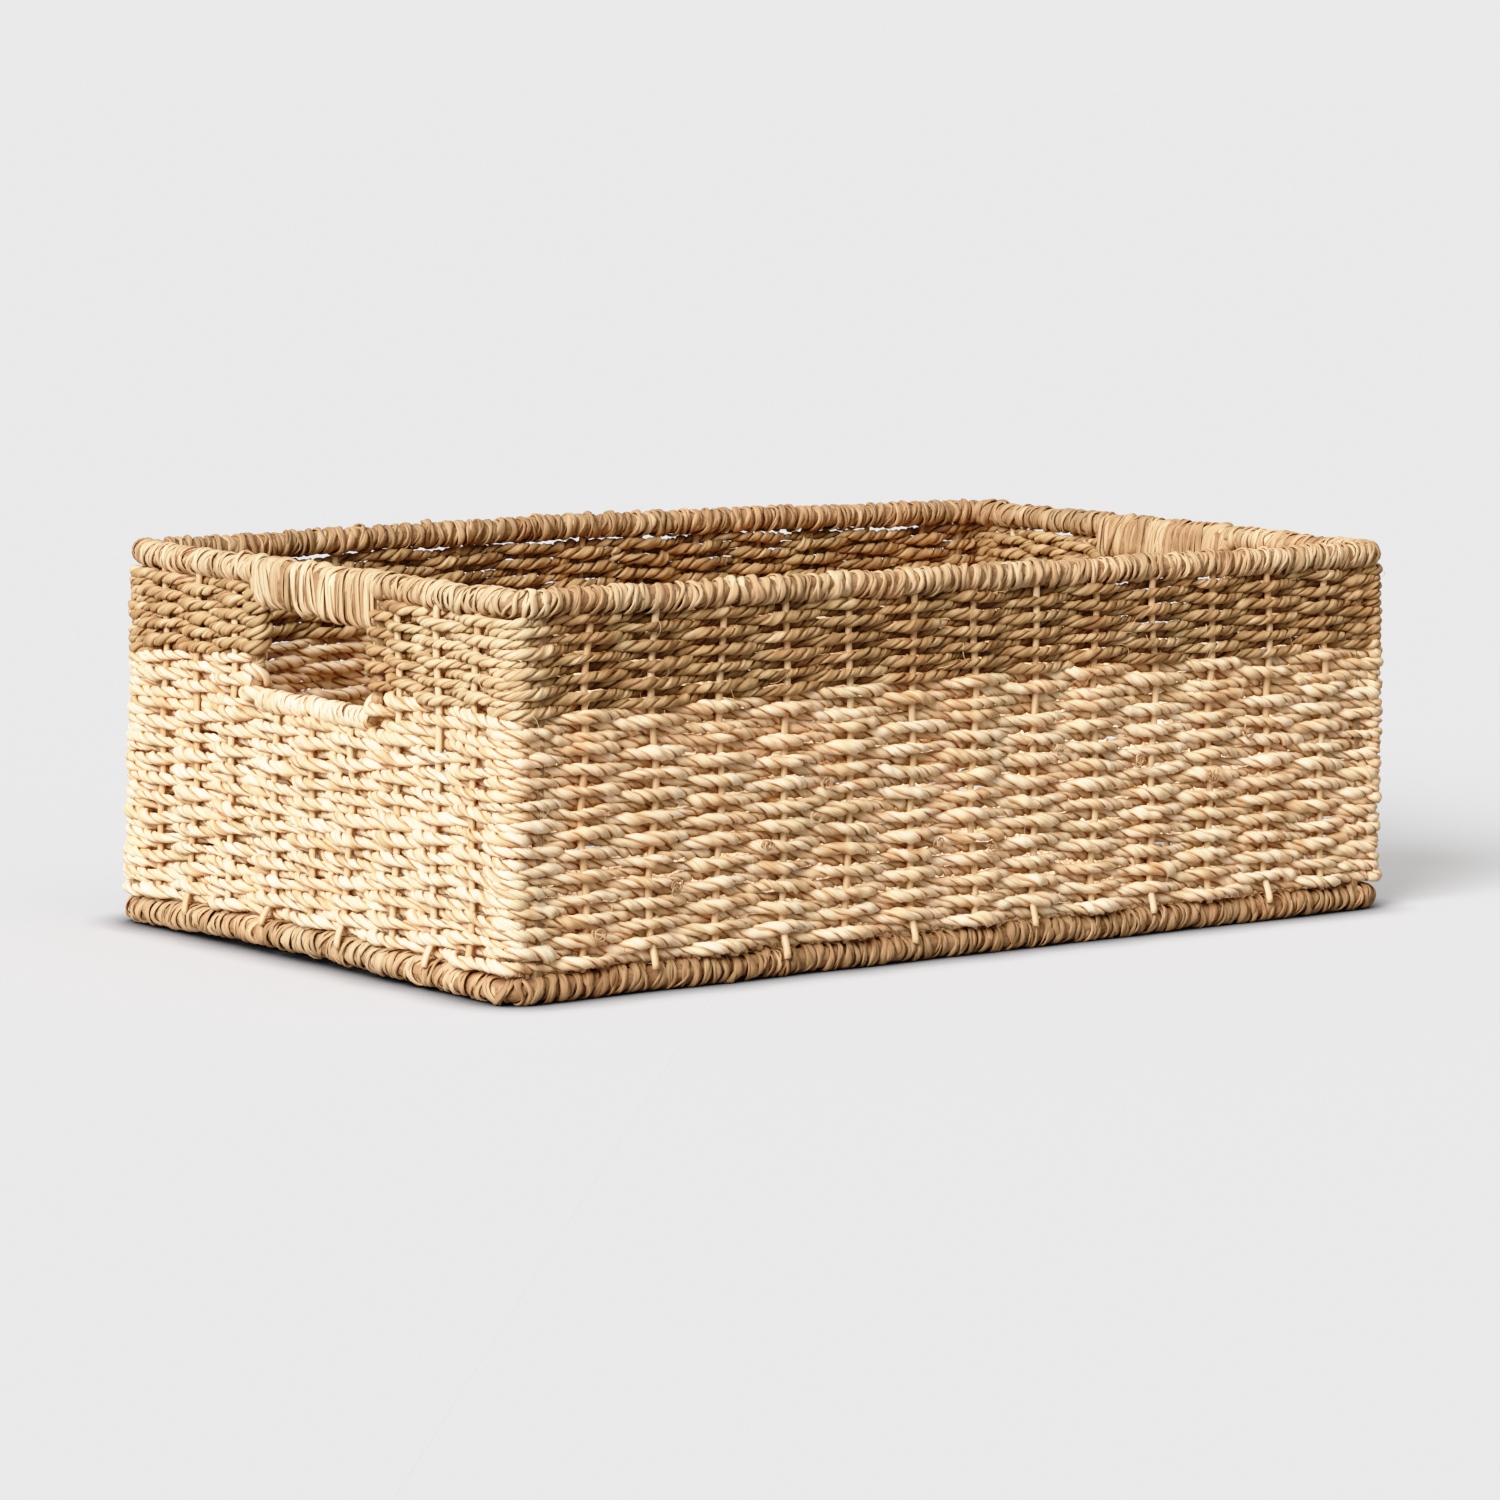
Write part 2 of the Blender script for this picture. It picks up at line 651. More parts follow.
def build_half_bands(cream, tan):
    halves = (
        ("front", LEFT_FRONT_HOOP, RIGHT_FRONT_HOOP, FRONT_CREAM_ROWS),
        ("back", RIGHT_BACK_HOOP, LEFT_BACK_HOOP, BACK_CREAM_ROWS),
    )
    for side, start, end, cream_rows in halves:
        inner = WARPS[(WARPS > start) & (WARPS < end)]
        last = int(np.searchsorted(WARPS, inner[0]))
        first = FIRST_SIDE if (LOWER_ROWS + last + 1) % 2 == 0 else -FIRST_SIDE
        weave_band(
            f"{side}_upper_straw_rows", "lower_weave", Rope(CREAM_RADIUS, CREAM_TURN, cream),
            cream_rows, start, end, lower_top, seam, first,
        )
        top = WEAVE_HIGH[side]
        weave_band(
            f"{side}_tan_rope_rows", f"upper_weave_{side}", Rope(TAN_RADIUS[side], TAN_TURN, tan),
            TAN_ROWS, start, end, seam, lambda u: top, first * (-1) ** cream_rows, share=2, pale=pale_end,
        )


# The floor: one rope that runs back and forth over the rods along the floor

def build_floor(material):
    rng = seeded("floor rope")
    inset = 0.0085
    reach_x = BASE_HALF[0] - inset
    reach_y = BASE_HALF[1] - inset
    rows = 98
    pitch = 2 * reach_x / (rows - 1)
    warp_count = 7
    warps = BASE_HALF[1] * (2 * (np.arange(warp_count) + 1) / (warp_count + 1) - 1)
    places = np.concatenate([[2 * warps[0] - warps[1]], warps, [2 * warps[-1] - warps[-2]]])
    lift = 0.0024
    count = int(2 * reach_y / FLOOR_STEP)
    bend_steps = 3
    parts = []
    marks = [0]
    for row in range(rows):
        x = -reach_x + row * pitch
        squeeze = max(0.0, abs(x) - (BASE_HALF[0] - WIRE_CORNER))
        limit = reach_y - 0.35 * squeeze
        y = np.linspace(-limit, limit, count)
        if row % 2:
            y = y[::-1]
        weave = swing(y, row, places)
        z = BASE_Z + lift * weave
        drift = 0.0002 * wander(rng, y, 2 * reach_y, 0.05)
        parts.append(np.stack([x + drift, y, z], axis=-1))
        if row < rows - 1:
            angle = math.pi * (np.arange(bend_steps) + 1) / (bend_steps + 1)
            side = 1 if row % 2 == 0 else -1
            turn_y = y[-1] + side * pitch / 2 * np.sin(angle)
            turn_x = x + pitch / 2 * (1 - np.cos(angle))
            parts.append(np.stack([turn_x, turn_y, np.full(bend_steps, z[-1])], axis=-1))
        marks.append(sum(len(part) for part in parts))
    centre = np.concatenate(parts)
    for number, keep in enumerate(shared_out(len(centre), marks, rows, 3), start=1):
        bundle = Bundle()
        twist_rope(
            bundle, centre, FLOOR_ROPE_RADIUS, FLOOR_TURN, 0.82, seeded("floor twist"),
            sides=7, unruly=0.6, keep=keep,
        )
        add_piece(f"floor_rope_{number}", bundle, material, "floor_weave")


# Strands wound on the wires

class Line:
    """A path with its directions, looked up by length along it."""

    def __init__(self, points):
        steps, ahead, outward, upright = path_frame(points)
        self.at = running_total(steps)
        self.length = self.at[-1]
        self.table = np.concatenate([points, ahead, outward, upright], axis=1)

    def look(self, along):
        found = np.stack([np.interp(along, self.at, self.table[:, i]) for i in range(12)], axis=-1)
        return found[:, 0:3], found[:, 3:6], found[:, 6:9], found[:, 9:12]


def oblong(angle, radius, stretch):
    """Offsets out and up round a circle of radius, with its height stretched by a straight part."""
    out = radius * np.cos(angle)
    up = radius * np.sin(angle)
    return out, up + stretch * np.tanh(3 * np.sin(angle))


def wind(
    bundle, line, turn, radius, crown, rng, shade,
    stretch=0.0, strips=4, hand=1, unruly=1.0, low=1.0, lean=0.0, sag=0.0,
):
    """Strands wound round a wire over a rough core, each turn a rounded lump of several strips.

    turn is the length of a turn, crown how far its middle stands above its sides, and lean how far
    its top is behind its foot. stretch makes the winding taller, low presses its underside up, and
    sag is how much further down it reaches at the far end of the line. shade gives the tone along
    it. Both ends are tucked inside."""
    per_turn = 18 if stretch == 0 else 26
    turns = max(1, int(round(line.length / turn)))
    spin = FULL_TURN * np.arange((turns + 1) * per_turn + 1) / per_turn - math.pi
    span = spin[-1] - spin[0]
    widths = np.clip(rng.normal(1, 0.24 * unruly, turns + 1), 0.55, 1.6)
    ends = running_total((widths[:-1] + widths[1:]) / 2)
    advance = line.length / ends[-1] * np.interp(spin / FULL_TURN, np.arange(turns + 1), ends)
    pitch = line.length / ends[-1] * np.interp(spin / FULL_TURN, np.arange(turns + 1), widths)

    def waves(turns_long, size=1.0):
        return size * wander(rng, spin, span, FULL_TURN * turns_long)

    lump = waves(1.3, 0.00035 * unruly)
    shift = waves(1.0, 0.11 * turn * unruly)
    tint = waves(5, 0.08) + waves(1.2, 0.05) + shade(advance)
    sides = 6
    angle = ring_angles(sides, 0.5)
    turned = spin * hand

    def drop(along, up):
        share = smoothstep(along / line.length * 1.15 - 0.15)
        return np.where(up < 0, up * low - sag * share * np.clip(-up / radius, 0, 1), up)

    for strip in range(strips):
        share = (strip + 0.5) / strips - 0.5
        stray = waves(0.55, 0.12 * turn * unruly)
        along = advance + shift + share * pitch * 0.90 + stray - lean * np.sin(turned)
        along = np.clip(along, 0.9 * pitch * (0.5 + share), line.length - 0.9 * pitch * (0.5 - share))
        centre, ahead, outward, upright = line.look(along)
        raised = crown * (math.cos(math.pi * share) - 0.75) + lump + waves(0.5, 0.00028 * unruly)
        out, up = oblong(turned, radius + raised, stretch)
        up = drop(along, up)
        away = np.stack([np.cos(turned), np.sin(turned)], axis=-1)
        direction = away[:, :1] * outward + away[:, 1:] * upright
        core = centre + out[:, None] * outward + up[:, None] * upright
        wide = pitch / strips * (1 + waves(0.6, 0.25 * unruly))
        deep = STRAND_THICKNESS / 2 * (1 + waves(0.5, 0.18 * unruly))
        tilt = -0.9 * share + waves(1.0, 0.25)
        flat = ahead * np.cos(tilt)[:, None] + direction * np.sin(tilt)[:, None]
        tall = direction * np.cos(tilt)[:, None] - ahead * np.sin(tilt)[:, None]
        rings = rings_round(core, flat, tall, wide[:, None] * np.sin(angle), deep[:, None] * np.cos(angle))
        rings[..., 2] = np.maximum(rings[..., 2], FLOOR_GAP)
        tone = tint + waves(0.8, 0.06)
        depth = (0.66 + 0.34 * np.cos(angle)) * (1 - 3.0 * share ** 2)
        bundle.tube(rings, spin * radius + rng.random(), tone, depth)
    steps = int(line.length / 0.0022)
    along = line.length * np.arange(steps + 1) / steps
    centre, ahead, outward, upright = line.look(along)
    sides = 12
    angle = ring_angles(sides)
    out, up = oblong(angle, radius - 0.12 * crown, stretch)
    rings = rings_round(centre, outward, upright, out[None, :], drop(along[:, None], up[None, :]))
    rings[..., 2] = np.maximum(rings[..., 2], 3 * FLOOR_GAP)
    bundle.tube(rings, along, np.full(len(along), 0.25), np.full(sides, 0.3))


def wire_line(start, end, z):
    """A stretch of ring wire at height z."""
    count = int((end - start) / LINE_STEP)
    u = start + (end - start) * np.arange(count + 1) / count
    return Line(WIRES.at(u, np.full(count + 1, z)))


def wrap_shade(start, tone, left_tone):
    """The tone along a wrap that begins at place start: tone, but left_tone on the left end."""
    def shade(along):
        u = np.mod(start + along + WIRES.length / 2, WIRES.length)
        away = np.abs(u - WIRES.length / 2) - WIRES.corners[0]
        return tone + (left_tone - tone) * (1 - smoothstep(away / 0.015 + 0.5))
    return shade


def one_tone(tone):
    return lambda along: tone


def build_ring_wraps(tan):
    """The strands on the base wire all the way round, and on the rim wire between the grips."""
    lap = 0.002
    base_halves = (("front", 0.0, WIRES.right, 0.08), ("back", WIRES.right, WIRES.length, 0.24))
    rim_halves = (
        ("front", HOOP_HALF - lap, WIRES.right - HOOP_HALF + lap, 0.40),
        ("back", WIRES.right + HOOP_HALF - lap, WIRES.length - HOOP_HALF + lap, 0.18),
    )
    for side, start, end, tone in base_halves:
        bundle = Bundle()
        rng = seeded(f"base wrap {side}")
        line = wire_line(start, end, BASE_Z)
        wind(bundle, line, 0.0054, WRAP_SEAT, 0.0028, rng, wrap_shade(start, tone, 0.40), low=0.94)
        add_piece(f"base_wrap_strands_{side}", bundle, tan, "base_wrap")
    for side, start, end, tone in rim_halves:
        bundle = Bundle()
        rng = seeded(f"rim wrap {side}")
        line = wire_line(start, end, RIM_Z)
        wind(bundle, line, 0.0052, WRAP_SEAT, 0.0022, rng, wrap_shade(start, tone, 0.57))
        add_piece(f"rim_wrap_strands_{side}", bundle, tan, f"rim_wrap_{side}")


def build_grip(side, middle, sag, tone, material):
    bundle = Bundle()
    reach = HOOP_HALF + 0.001
    stretch = (grip_high.z - grip_low.z) / 2 - WRAP_RADIUS
    line = wire_line(middle - reach, middle + reach, GRIP_Z)
    wind(
        bundle, line, 0.0066, WRAP_SEAT, 0.0016, seeded(f"grip {side}"), one_tone(tone),
        stretch=stretch, unruly=1.2, lean=0.0016, sag=sag,
    )
    add_piece(f"{side}_grip_strands", bundle, material, f"{side}_grip")


def build_sill(side, middle, cream, tan):
    """The wound sill of a hand hole, and the strands on the two upright wires beside the hole."""
    rng = seeded(f"sill {side}")
    bundle = Bundle()
    reach = HOOP_HALF - 0.0045
    line = wire_line(middle - reach, middle + reach, SILL_Z)
    wind(
        bundle, line, 0.0042, SILL_RADIUS - 0.0001, 0.0012, rng, one_tone(0.55),
        strips=3, hand=-1, unruly=0.9,
    )
    add_piece(f"{side}_sill_strands", bundle, cream, f"{side}_sill_wrap")
    bundle = Bundle()
    z = np.arange(SILL_Z, GRIP_Z, LINE_STEP)
    for place in (middle - HOOP_HALF, middle + HOOP_HALF):
        line = Line(WIRES.at(np.full(len(z), place), z))
        wind(bundle, line, 0.0036, HOOP_SEAT, 0.0008, rng, one_tone(0.2), strips=3)
    add_piece(f"{side}_hoop_strands", bundle, tan)


# Reeds

def reed(name, points, width, thickness, material, cut=0.0):
    """A slightly flattened, slightly crooked reed along points."""
    rng = seeded(name)
    bundle = Bundle()
    ahead = np.gradient(points, axis=0)
    ahead /= np.linalg.norm(ahead, axis=1, keepdims=True)
    lengths = running_total(np.linalg.norm(np.diff(points, axis=0), axis=1))
    span = lengths[-1]
    side = np.cross(ahead, reed_face(points))
    side /= np.linalg.norm(side, axis=1, keepdims=True)
    face = np.cross(side, ahead)
    sides = 10
    angle = ring_angles(sides)
    wide = width / 2 * (1 + 0.05 * wander(rng, lengths, span, 0.03))
    deep = thickness / 2 * (1 + 0.05 * wander(rng, lengths, span, 0.03))
    square = (np.abs(np.cos(angle)) ** 4 + np.abs(np.sin(angle)) ** 4) ** -0.12
    across = wide[:, None] * (square * np.sin(angle))
    rings = rings_round(points, side, face, across, deep[:, None] * (square * np.cos(angle)))
    if cut:
        rings[0] += (np.sin(angle) * cut)[:, None] * ahead[0]
    tone = 0.5 + 0.12 * rng.normal() + 0.08 * wander(rng, lengths, span, 0.05)
    bundle.tube(rings, lengths + rng.random(), tone, np.ones(sides))
    return add_piece(name.replace("stake", "reed"), bundle, material, name)


def reed_face(points):
    """The direction that the broad side of each reed faces: away from the basket's middle."""
    middle = points.mean(axis=0)
    if abs(abs(middle[0]) - BASE_HALF[0]) < abs(abs(middle[1]) - BASE_HALF[1]):
        return np.array([math.copysign(1, middle[0]), 0, 0])
    if abs(middle[1]) > BASE_HALF[1] * 0.9:
        return np.array([0, math.copysign(1, middle[1]), 0])
    return UP


def build_reeds(material):
    for name, place in STAKES.items():
        rng = seeded(name + " foot")
        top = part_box(name)[1].z
        covered = swing(np.array([place]), 0, wrap_warps(WARPS), FIRST_SIDE)[0] > 0
        foot = 0.0105 if covered else rng.uniform(0.0070, 0.0096)
        reach = 0.0022 if covered else 0.0058
        z = np.concatenate([np.linspace(foot, 0.024, 9), np.arange(0.027, top, 0.003)])
        bend = 1 - smoothstep((z - foot) / (0.0230 - foot))
        out = reach * bend + 0.0014 * (1 - bend) + 0.0002 * wander(rng, z, 0.14, 0.05)
        drift = 0.0008 * wander(rng, z, 0.14, 0.09) - (0 if covered else 0.0008) * bend
        points = WEAVE.at(place + drift, z, out)
        reed(name, points, REED_WIDTH, REED_THICKNESS, material, cut=rng.uniform(-0.0006, 0.0006))
    for number in range(1, 5):
        name = f"floor_stake_{number}"
        low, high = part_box(name)
        x = np.linspace(low.x, high.x, 120)
        y = np.full(len(x), (low.y + high.y) / 2) + 0.0003 * wander(seeded(name), x, 0.47, 0.09)
        points = np.stack([x, y, np.full(len(x), (low.z + high.z) / 2)], axis=-1)
        reed(name, points, FLOOR_REED_WIDTH, FLOOR_REED_THICKNESS, material)


# Loose ends

def thread(bundle, points, radius, tone, sides=5, taper=0.3):
    """A thin strand along points, thinner at its tip."""
    steps, _, outward, upright = path_frame(points)
    along = running_total(steps)
    angle = ring_angles(sides)
    size = (radius * (1 - (1 - taper) * along / along[-1]))[:, None]
    rings = rings_round(points, outward, upright, size * np.cos(angle), size * np.sin(angle))
    bundle.tube(rings, along, np.full(len(along), tone), np.full(sides, 0.8))


def build_loose_ends(material):
    """Cut rope ends that curl out of the weave, and hair-thin fibres that stand off the ropes."""
    rng = seeded("loose ends")
    bundle = Bundle()
    for _ in range(CURLS):
        u = rng.uniform(CORNERS[0] + 0.02, CORNERS[1] - 0.02)
        z = rng.uniform(0.025, 0.104)
        for _ in range(CURL_THREADS):
            size = rng.uniform(0.0018, 0.0027)
            turns = rng.uniform(0.6, 1.1) * rng.choice([-1, 1])
            share = np.linspace(0, 1, 22)
            angle = FULL_TURN * turns * share + rng.uniform(0, 6)
            across = size * (1 - 0.4 * share)
            place = u + across * np.cos(angle) + rng.normal(0, 0.0007)
            height = z + across * np.sin(angle) + rng.normal(0, 0.0007)
            points = WEAVE.at(place, height, 0.0045 + 0.0022 * share)
            thread(bundle, points, CURL_RADIUS, rng.uniform(0.15, 0.6))
    add_piece("curled_rope_ends", bundle, material, "lower_weave")
    bundle = Bundle()
    for number in range(FIBRES):
        u = rng.uniform(0, LOOP)
        z = seam(u) + rng.normal(0, 0.012) if number % 3 == 0 else rng.uniform(0.015, 0.148)
        reach = rng.uniform(0.004, 0.013)
        heading = rng.uniform(0, FULL_TURN)
        curve = rng.uniform(-1.2, 1.2)
        share = np.linspace(0, 1, 12)
        angle = heading + curve * share
        place = u + reach * share * np.cos(angle)
        height = np.clip(z + reach * share * np.sin(angle), 0.004, 0.156)
        from_hole = min(u, LOOP - u, abs(u - WEAVE.right))
        if from_hole < HOOP_HALF + 0.01 and height.max() > SILL_Z:
            continue
        lift = 0.0048 + rng.uniform(0.0005, 0.0030) * np.sin(math.pi * share * 0.8)
        points = WEAVE.at(place, height, lift)
        thread(bundle, points, FIBRE_RADIUS, rng.uniform(0.3, 0.95), sides=4, taper=0.4)
    add_piece("stray_fibres", bundle, material, "lower_weave")


# Materials

class Graph:
    """The node tree of a material or of the world, built with short calls."""

    def __init__(self, owner):
        owner.use_nodes = True
        self.material = owner
        self.tree = owner.node_tree
        self.shader = self.tree.nodes.get("Principled BSDF")

    def node(self, kind, **settings):
        made = self.tree.nodes.new(kind)
        for key, value in settings.items():
            setattr(made, key, value)
        return made

    def link(self, source, target):
        self.tree.links.new(source, target)

    def feed(self, socket, value):
        if isinstance(value, bpy.types.NodeSocket):
            self.link(value, socket)
        else:
            socket.default_value = value

    def attribute(self, name, output="Fac"):
        return self.node("ShaderNodeAttribute", attribute_name=name).outputs[output]

    def math(self, operation, first, second=0.0, clamp=False):
        made = self.node("ShaderNodeMath", operation=operation, use_clamp=clamp)
        self.feed(made.inputs[0], first)
        self.feed(made.inputs[1], second)
        return made.outputs[0]

    def either_side(self, value, size):
        """value, which lies between 0 and 1, moved to lie round 0 and scaled to size."""
        return self.math("MULTIPLY", self.math("SUBTRACT", value, 0.5), size)

    def stretch(self, vector, scale):
        made = self.node("ShaderNodeVectorMath", operation="MULTIPLY")
        self.feed(made.inputs[0], vector)
        made.inputs[1].default_value = scale
        return made.outputs[0]

    def noise(self, vector, scale, detail=2.0, rough=0.5):
        made = self.node("ShaderNodeTexNoise")
        self.feed(made.inputs["Vector"], vector)
        made.inputs["Scale"].default_value = scale
        made.inputs["Detail"].default_value = detail
        made.inputs["Roughness"].default_value = rough
        return made.outputs["Fac"]

    def ramp(self, value, *stops):
        made = self.node("ShaderNodeValToRGB")
        self.feed(made.inputs[0], value)
        elements = made.color_ramp.elements
        while len(elements) < len(stops):
            elements.new(0.5)
        for element, (position, colour) in zip(elements, stops):
            element.position = position
            element.color = (*colour, 1) if len(colour) == 3 else colour
        return made.outputs[0]

    def mix(self, share, first, second, blend="MIX"):
        made = self.node("ShaderNodeMix", data_type="RGBA", blend_type=blend)
        self.feed(made.inputs[0], share)
        self.feed(made.inputs[6], first)
        self.feed(made.inputs[7], second)
        return made.outputs[2]

    def bump(self, height, strength, distance):
        made = self.node("ShaderNodeBump")
        self.feed(made.inputs["Height"], height)
        made.inputs["Strength"].default_value = strength
        made.inputs["Distance"].default_value = distance
        self.link(made.outputs[0], self.shader.inputs["Normal"])

    def either(self, share, first, second):
        """A shader that turns from first to second as share goes from 0 to 1."""
        made = self.node("ShaderNodeMixShader")
        self.feed(made.inputs[0], share)
        self.link(first.outputs[0], made.inputs[1])
        self.link(second.outputs[0], made.inputs[2])
        return made

    def camera_ray(self):
        return self.node("ShaderNodeLightPath").outputs["Is Camera Ray"]


def grey(level):
    return (level, level, level)


def srgb(red, green, blue):
    """A colour given as a screen shows it, 0 to 255, as linear light."""
    levels = []
    for value in (red, green, blue):
        share = value / 255
        levels.append(share / 12.92 if share <= 0.04045 else ((share + 0.055) / 1.055) ** 2.4)
    return tuple(levels)


def fibre_material(name, colours, stain, streak=0.30, rough=0.62, grain=2.0):
    """Dried leaf strands: a palette by tone, long streaks, stained hollows and fine ridges."""
    graph = Graph(bpy.data.materials.new(name))
    strand = graph.attribute("strand", "Vector")
    tone = graph.attribute("tone")
    depth = graph.attribute("depth")
    where = graph.node("ShaderNodeTexCoord").outputs["Object"]
    fine = graph.noise(graph.stretch(strand, (grain, grain, 0.11)), 1.0, 3.0, 0.6)
    strips = graph.noise(graph.stretch(strand, (0.65, 0.65, 0.05)), 1.0, 2.0)
    blotch = graph.noise(where, 55.0, 3.0)
    shade = graph.math("ADD", tone, graph.either_side(strips, 0.55))
    shade = graph.math("ADD", shade, graph.either_side(blotch, 0.38), True)
    spots = [(index / (len(colours) - 1) * 0.76 + 0.12, colour) for index, colour in enumerate(colours)]
    base = graph.ramp(shade, *spots)
    drift = graph.noise(where, 38.0, 2.0)
    drift = graph.ramp(drift, (0.35, (1.03, 0.97, 0.93)), (0.65, (0.96, 1.02, 1.02)))
    base = graph.mix(1.0, base, drift, "MULTIPLY")
    crease = (1 - streak * 0.85, 1 - streak, 1 - streak * 1.25)
    lines = graph.ramp(fine, (0.36, crease), (0.47, grey(1.0)), (0.70, grey(1.0 + streak * 0.2)))
    base = graph.mix(1.0, base, lines, "MULTIPLY")
    hollow = graph.ramp(depth, (0.0, grey(1.0)), (0.22, grey(0.5)), (0.5, grey(0.0)))
    base = graph.mix(hollow, base, graph.mix(1.0, base, (*stain, 1), "MULTIPLY"))
    graph.link(base, graph.shader.inputs["Base Color"])
    roughness = graph.math("ADD", graph.math("MULTIPLY", fine, 0.25), rough - 0.125)
    graph.link(roughness, graph.shader.inputs["Roughness"])
    graph.shader.inputs["Specular IOR Level"].default_value = 0.35
    height = graph.math("ADD", graph.math("MULTIPLY", fine, 0.7), graph.math("MULTIPLY", strips, 0.9))
    graph.bump(height, 0.55, 0.0006)
    return graph.material


def wire_material():
    graph = Graph(bpy.data.materials.new("painted_wire"))
    where = graph.node("ShaderNodeTexCoord").outputs["Object"]
    patches = graph.noise(where, 90.0, 4.0)
    base = graph.ramp(patches, (0.35, srgb(112, 84, 54)), (0.7, srgb(142, 110, 74)))
    graph.link(base, graph.shader.inputs["Base Color"])
    roughness = graph.math("ADD", graph.math("MULTIPLY", patches, 0.3), 0.35)
    graph.link(roughness, graph.shader.inputs["Roughness"])
    graph.shader.inputs["Metallic"].default_value = 0.1
    graph.bump(patches, 0.2, 0.0003)
    return graph.material


# Studio

def paper_material():
    """White studio paper: the camera sees its shadows softened, as retouched product pictures show them,
    and sees through it from below."""
    graph = Graph(bpy.data.materials.new("studio_paper"))
    nodes = graph.tree.nodes
    nodes.remove(graph.shader)
    bounce = graph.node("ShaderNodeBsdfDiffuse")
    bounce.inputs["Color"].default_value = (*grey(0.28), 1)
    nearby = graph.node("ShaderNodeAmbientOcclusion", samples=8)
    nearby.inputs["Distance"].default_value = CONTACT_REACH
    contact = graph.math("POWER", nearby.outputs["AO"], CONTACT_POWER)
    lit = graph.node("ShaderNodeBsdfDiffuse")
    glow = graph.node("ShaderNodeEmission")
    for shader, level in ((lit, BACKDROP / FLOOR_LIGHT), (glow, BACKDROP)):
        colour = graph.ramp(contact, (0.0, grey(0.0)), (1.0, grey(level)))
        graph.link(colour, shader.inputs["Color"])
    above = graph.either(graph.camera_ray(), bounce, graph.either(SHADOW_SHARE, glow, lit))
    below = graph.node("ShaderNodeBsdfTransparent")
    from_below = graph.node("ShaderNodeNewGeometry").outputs["Backfacing"]
    paper = graph.either(from_below, above, below)
    graph.link(paper.outputs[0], nodes["Material Output"].inputs["Surface"])
    return graph.material


AMBIENT = 0.47
SKY_COLOUR = (1.02, 1.0, 0.92)
SUN_COLOUR = (1.0, 0.985, 1.035)
BACKDROP = 0.95                         # brightness of the plain backdrop and floor
SHADOW_SHARE = 0.75                     # how much of the floor's shadows the camera sees
CONTACT_REACH = 0.022                   # the floor darkens this close to the basket
CONTACT_POWER = 1.7
TONE_CURVE = (                          # light, and how bright it is shown
    (0.02, 0.009), (0.06, 0.048), (0.15, 0.153), (0.30, 0.312), (0.45, 0.462), (0.70, 0.665),
    (BACKDROP, 0.823), (1.3, 0.93), (1.7, 0.98),
)
SUNS = (                                # name, direction towards it, strength, spread in degrees
    ("key", (-0.86, -0.27, 0.55), 6.8, 34),
    ("top", (0.10, -0.35, 1.0), 0.9, 60),
)
FLOOR_LIGHT = AMBIENT + sum(
    strength * Vector(toward).normalized().z / math.pi for _, toward, strength, _ in SUNS
)


def build_studio():
    floor = bpy.data.meshes.new("studio_floor")
    side = 60.0
    corners = [(-side, -side, 0), (side, -side, 0), (side, side, 0), (-side, side, 0)]
    floor.from_pydata(corners, [], [(0, 1, 2, 3)])
    plane = bpy.data.objects.new("studio_floor", floor)
    bpy.context.scene.collection.objects.link(plane)
    floor.materials.append(paper_material())

    world = bpy.data.worlds.new("studio")
    bpy.context.scene.world = world
    graph = Graph(world)
    ambient = graph.tree.nodes["Background"]
    seen = graph.node("ShaderNodeBackground")
    for shader, colour, strength in ((ambient, SKY_COLOUR, AMBIENT), (seen, grey(BACKDROP), 1.0)):
        shader.inputs["Color"].default_value = (*colour, 1)
        shader.inputs["Strength"].default_value = strength
    shown = graph.either(graph.camera_ray(), ambient, seen)
    graph.link(shown.outputs[0], graph.tree.nodes["World Output"].inputs["Surface"])

    for name, toward, strength, spread in SUNS:
        lamp = bpy.data.lights.new(name, "SUN")
        lamp.energy = strength
        lamp.color = SUN_COLOUR
        lamp.angle = math.radians(spread)
        light = bpy.data.objects.new(name, lamp)
        light.rotation_euler = Vector(toward).to_track_quat("Z", "Y").to_euler()
        bpy.context.scene.collection.objects.link(light)


def set_tones():
    """A print-like tone curve: deep shadows pressed down, middle tones true, highlights rolled off."""
    view = bpy.context.scene.view_settings
    view.view_transform = "Standard"
    view.use_curve_mapping = True
    mapping = view.curve_mapping
    top = 2.2
    mapping.white_level = (top, top, top)
    mapping.extend = "HORIZONTAL"
    curve = mapping.curves[3]
    curve.points[0].location = (0, 0)
    curve.points[1].location = (1, 1)
    for light, shown in TONE_CURVE:
        curve.points.new(light / top, shown)
    mapping.update()


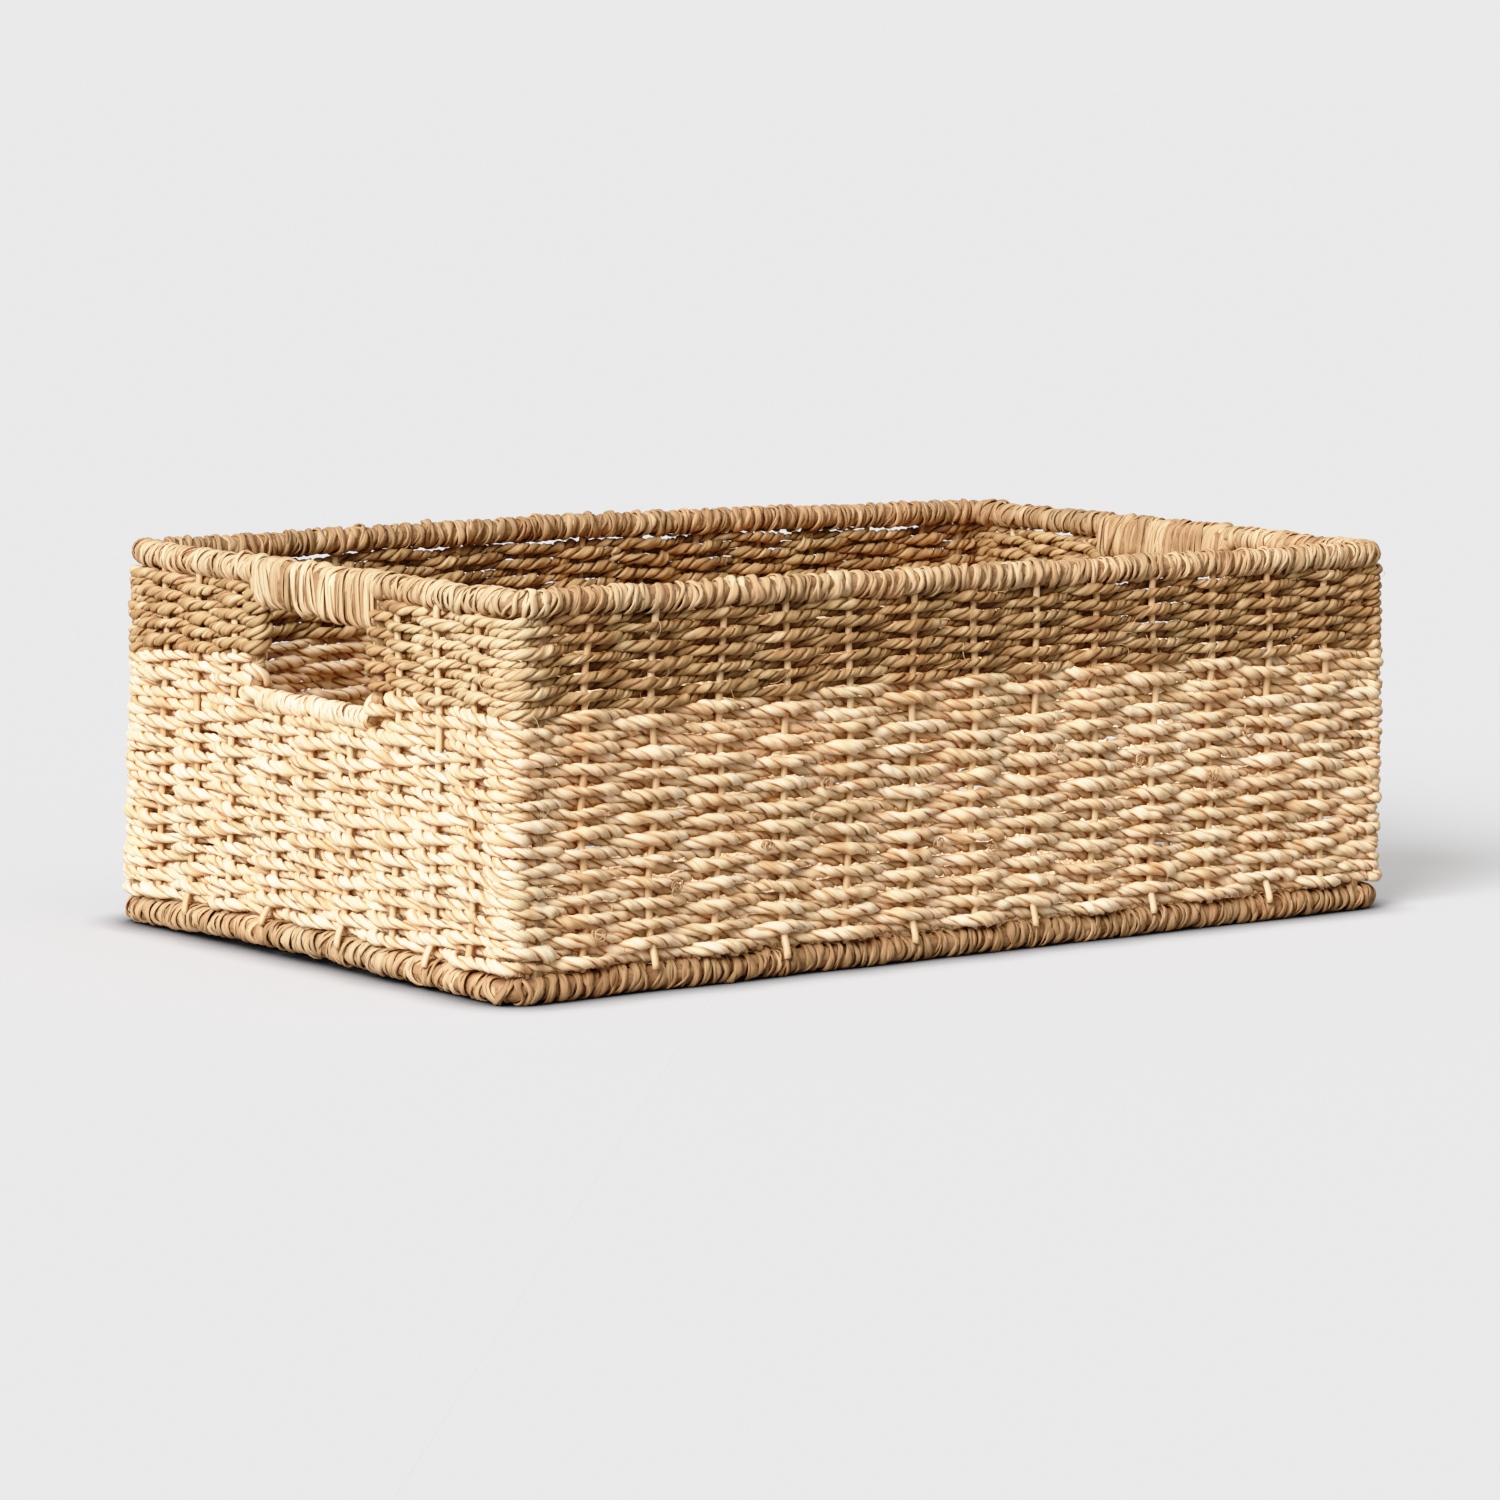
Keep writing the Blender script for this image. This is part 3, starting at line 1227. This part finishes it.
def build_camera():
    """Looks at the near left corner from a little above, through a long lens."""
    azimuth, elevation, roll = math.radians(-39.665), math.radians(6.903), math.radians(0.983)
    distance = 2.40527
    right = Vector((math.cos(azimuth), math.sin(azimuth), 0))
    away = Vector((math.sin(azimuth), -math.cos(azimuth), 0))
    back = away * math.cos(elevation) + Vector((0, 0, math.sin(elevation)))
    up = back.cross(right)
    target = right * -0.00712 + Vector((0, 0, 0.06997))
    side = math.cos(roll) * right + math.sin(roll) * up
    top = -math.sin(roll) * right + math.cos(roll) * up
    lens = bpy.data.cameras.new("camera")
    lens.sensor_width = 36
    lens.lens = 136.13
    lens.clip_end = 200
    camera = bpy.data.objects.new("camera", lens)
    place = Matrix((side, top, back)).transposed().to_4x4()
    place.translation = target + back * distance
    camera.matrix_world = place
    bpy.context.scene.collection.objects.link(camera)
    bpy.context.scene.camera = camera


cream_rope = fibre_material(
    "straw_rope",
    (srgb(203, 160, 117), srgb(229, 192, 149), srgb(239, 206, 169), srgb(244, 215, 180)),
    srgb(184, 138, 84), streak=0.36,
)
tan_rope = fibre_material(
    "tan_rope",
    (srgb(116, 81, 49), srgb(149, 113, 74), srgb(174, 138, 96), srgb(209, 175, 134)),
    srgb(142, 96, 52), streak=0.42,
)
tan_strand = fibre_material(
    "tan_strand",
    (srgb(141, 107, 73), srgb(178, 141, 103), srgb(200, 165, 126), srgb(230, 196, 155)),
    srgb(142, 98, 56), streak=0.32, grain=1.4,
)
rattan = fibre_material(
    "rattan", (srgb(192, 150, 106), srgb(208, 170, 128), srgb(220, 186, 146)), srgb(220, 190, 160),
    streak=0.2, rough=0.55, grain=2.6,
)
build_lower_rows(cream_rope)
build_half_bands(cream_rope, tan_rope)
build_floor(cream_rope)
build_ring_wraps(tan_strand)
for side, middle, sag, tone in (("left", 0.0, 0.0034, 0.54), ("right", WIRES.right, 0.0, 0.30)):
    build_grip(side, middle, sag, tone, tan_strand)
    build_sill(side, middle, cream_rope, tan_strand)
build_reeds(rattan)
build_loose_ends(tan_strand)
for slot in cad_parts["wire_frame"].material_slots:
    slot.material = wire_material()
build_studio()
build_camera()
set_tones()
